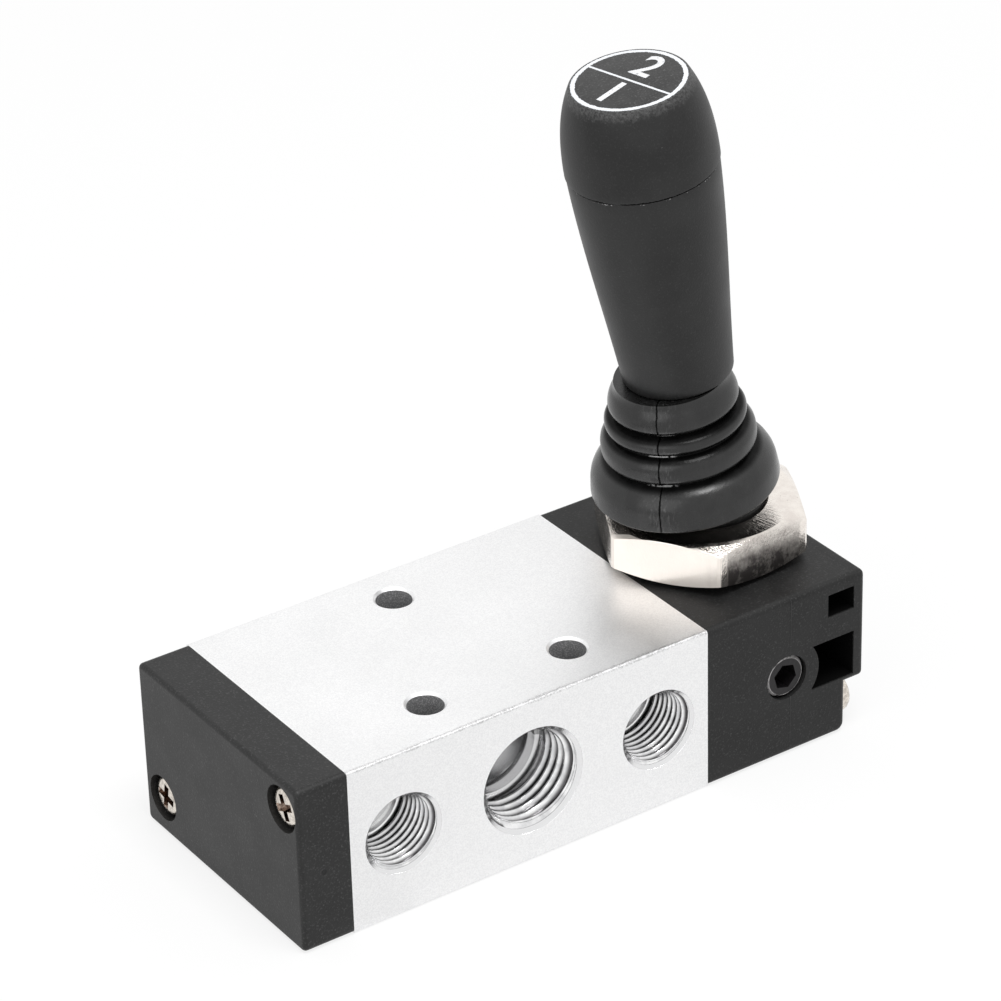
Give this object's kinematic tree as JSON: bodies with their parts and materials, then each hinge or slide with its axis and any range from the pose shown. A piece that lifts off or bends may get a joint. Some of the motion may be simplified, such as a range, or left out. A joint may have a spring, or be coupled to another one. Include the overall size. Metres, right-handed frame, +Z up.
{
  "type": "hand lever air valve",
  "caption": "Hand lever spool valve: aluminium port block, black end cap and lever housing, panel nut, bellows boot and tapered grip. The lever shifts the spool between two positions.",
  "frame": {"origin": "bottom face of the port block, straight below the middle port's axis and midway between the port faces", "axes": "+X towards the lever housing, +Y towards the outlet ports, +Z up"},
  "size_m": [0.0835, 0.035, 0.0877],
  "materials": {
    "anodised": "bead blasted, clear anodised",
    "machined": "turned",
    "black_plastic": "fine textured black",
    "guide_plastic": "natural acetal",
    "disc_plastic": "black with a white ring and line",
    "boot_rubber": "semi-gloss black",
    "seal_rubber": "smooth black",
    "nickel": "nickel plated",
    "steel": "ground steel",
    "black_oxide": "black oxide"
  },
  "bodies": {
    "valve": {"valve_body": "anodised", "end_cap": "black_plastic", "end_cap_screws": "nickel", "end_cap_seal": "seal_rubber", "lever_housing": "black_plastic", "housing_screws": "nickel", "housing_seal": "seal_rubber", "panel_nut": "nickel", "pivot_pin": "steel", "spool_guide": "guide_plastic", "detent_screw_front": "black_oxide", "detent_screw_back": "black_oxide", "detent_spring_front": "steel", "detent_spring_back": "steel", "detent_ball_front": "steel", "detent_ball_back": "steel"},
    "lever": {"lever_rod": "steel", "grip": "black_plastic", "grip_knob": "black_plastic", "indicator_disc": "disc_plastic", "boot": "boot_rubber"},
    "spool": {"spool": "machined", "spool_seals": "seal_rubber"}
  },
  "joints": [
    {"name": "lever_pivot", "type": "hinge", "parent": "valve", "child": "lever", "pos_m": [0.0375, 0, 0.025], "axis": [0, 1, 0], "range_deg": [0, 18.4]},
    {"name": "spool_slide", "type": "slide", "parent": "valve", "child": "spool", "axis": [-1, 0, 0], "range_m": [0, 0.00449]}
  ],
  "couplings": [
    {"joint": "spool_slide", "follows": "lever_pivot", "m_per_rad": 0.01394}
  ]
}
